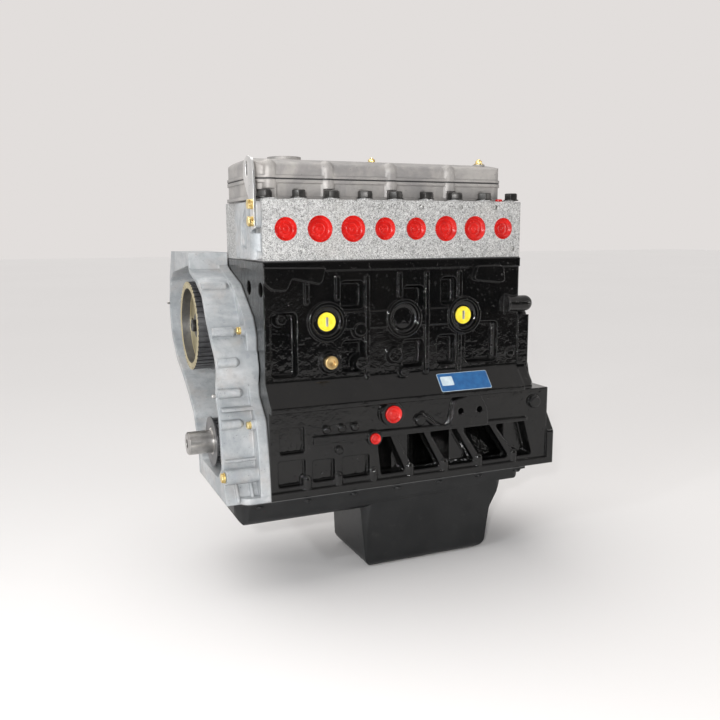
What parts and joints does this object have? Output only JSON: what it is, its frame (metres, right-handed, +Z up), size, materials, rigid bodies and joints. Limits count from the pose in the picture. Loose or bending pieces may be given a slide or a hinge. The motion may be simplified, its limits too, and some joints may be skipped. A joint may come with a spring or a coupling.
{
  "type": "diesel engine",
  "caption": "In-line overhead-valve diesel long engine with closed ports, open timing case and offset deep sump, turning crank and cam.",
  "frame": {"origin": "centre of the crankshaft's rear flange face, on the crank axis", "axes": "+X out of the rear flange along the crank axis, +Z up the cylinders, -Y towards the manifold side"},
  "size_m": [0.61, 0.4199, 0.652],
  "materials": {
    "black_paint": "gloss black engine enamel over rough iron casting",
    "black_satin": "smooth satin black enamel on pressed steel",
    "cast_iron": "bare grey cast iron",
    "black_steel": "black oxide bolt steel",
    "bearing_metal": "grey bearing metal",
    "yellow_tab": "yellow tab with a raised bar",
    "brass": "turned brass",
    "red_plastic": "glossy red moulded plastic",
    "blue_label": "plain blue film with a pale border",
    "zinc_yellow": "yellow zinc plated steel",
    "bright_zinc": "bright zinc plate",
    "gasket": "dark fibre gasket",
    "rubber": "black seal rubber",
    "blasted_aluminium": "shot-blasted sparkling aluminium",
    "cast_aluminium": "dull sand-cast aluminium",
    "cover_aluminium": "smooth die-cast aluminium",
    "machined_steel": "oiled machined steel",
    "sprocket_steel": "sintered steel with a gold passivated rim",
    "piston_alloy": "turned aluminium alloy"
  },
  "bodies": {
    "engine": {"cylinder_block": "black_paint", "main_bearing_caps": "cast_iron", "main_cap_bolts": "black_steel", "main_bearing_shells": "bearing_metal", "camshaft_bushes": "bearing_metal", "core_plugs": "black_paint", "heat_tabs": "yellow_tab", "block_drain_plug": "brass", "blanking_caps": "red_plastic", "data_label": "blue_label", "tappet_covers": "black_paint", "tappet_cover_bolts": "zinc_yellow", "head_gasket": "gasket", "cylinder_head": "blasted_aluminium", "port_plugs": "red_plastic", "head_bolts": "black_steel", "valves": "machined_steel", "valve_springs": "machined_steel", "tappets": "machined_steel", "pushrods": "machined_steel", "rocker_arms": "machined_steel", "rocker_pedestals": "cast_aluminium", "rocker_shaft": "machined_steel", "rocker_cover_base": "cover_aluminium", "rocker_cover_gasket": "rubber", "rocker_cover_lid": "cover_aluminium", "cover_nuts": "zinc_yellow", "thermostat_housing": "cast_aluminium", "lifting_bracket": "bright_zinc", "lifting_bracket_bolts": "zinc_yellow", "timing_case": "cast_aluminium", "timing_case_gasket": "gasket", "timing_case_screws": "zinc_yellow", "cover_dowels": "machined_steel", "front_oil_seal": "rubber", "rear_oil_seal": "rubber", "cam_thrust_plate": "machined_steel", "sump": "black_satin", "sump_gasket": "gasket", "sump_bolts": "black_satin", "sump_drain_plug": "machined_steel", "oil_pump": "cast_iron", "oil_strainer": "machined_steel"},
    "crank": {"crankshaft": "machined_steel", "crank_sprocket": "sprocket_steel", "crank_key": "machined_steel"},
    "cam": {"camshaft": "machined_steel", "cam_sprocket": "sprocket_steel", "cam_sprocket_bolt": "zinc_yellow"},
    "piston_body_1": {"piston_1": "piston_alloy"},
    "rod_body_1": {"connecting_rod_1": "machined_steel"},
    "piston_body_2": {"piston_2": "piston_alloy"},
    "rod_body_2": {"connecting_rod_2": "machined_steel"},
    "piston_body_3": {"piston_3": "piston_alloy"},
    "rod_body_3": {"connecting_rod_3": "machined_steel"},
    "piston_body_4": {"piston_4": "piston_alloy"},
    "rod_body_4": {"connecting_rod_4": "machined_steel"}
  },
  "joints": [
    {"name": "crank_turn", "type": "hinge", "parent": "engine", "child": "crank", "pos_m": [0, 0, 0], "axis": [1, 0, 0], "continuous": true},
    {"name": "cam_turn", "type": "hinge", "parent": "engine", "child": "cam", "pos_m": [-0.3, 0.11, 0.171], "axis": [1, 0, 0], "continuous": true},
    {"name": "piston_slide_1", "type": "slide", "parent": "engine", "child": "piston_body_1", "axis": [0, 0, 1], "range_m": [-0.097, 0]},
    {"name": "rod_swing_1", "type": "hinge", "parent": "piston_body_1", "child": "rod_body_1", "pos_m": [-0.4498, 0, 0.2239], "axis": [1, 0, 0], "range_deg": [-16, 16]},
    {"name": "piston_slide_2", "type": "slide", "parent": "engine", "child": "piston_body_2", "axis": [0, 0, 1], "range_m": [0, 0.097]},
    {"name": "rod_swing_2", "type": "hinge", "parent": "piston_body_2", "child": "rod_body_2", "pos_m": [-0.345, 0, 0.1269], "axis": [1, 0, 0], "range_deg": [-16, 16]},
    {"name": "piston_slide_3", "type": "slide", "parent": "engine", "child": "piston_body_3", "axis": [0, 0, 1], "range_m": [0, 0.097]},
    {"name": "rod_swing_3", "type": "hinge", "parent": "piston_body_3", "child": "rod_body_3", "pos_m": [-0.2402, 0, 0.1269], "axis": [1, 0, 0], "range_deg": [-16, 16]},
    {"name": "piston_slide_4", "type": "slide", "parent": "engine", "child": "piston_body_4", "axis": [0, 0, 1], "range_m": [-0.097, 0]},
    {"name": "rod_swing_4", "type": "hinge", "parent": "piston_body_4", "child": "rod_body_4", "pos_m": [-0.1354, 0, 0.2239], "axis": [1, 0, 0], "range_deg": [-16, 16]}
  ],
  "couplings": [
    {"joint": "cam_turn", "follows": "crank_turn", "ratio": 0.5},
    {"joint": "piston_slide_2", "follows": "piston_slide_1", "ratio": -1},
    {"joint": "rod_swing_2", "follows": "rod_swing_1", "ratio": -1},
    {"joint": "piston_slide_3", "follows": "piston_slide_1", "ratio": -1},
    {"joint": "rod_swing_3", "follows": "rod_swing_1", "ratio": -1},
    {"joint": "piston_slide_4", "follows": "piston_slide_1", "ratio": 1},
    {"joint": "rod_swing_4", "follows": "rod_swing_1", "ratio": 1}
  ]
}
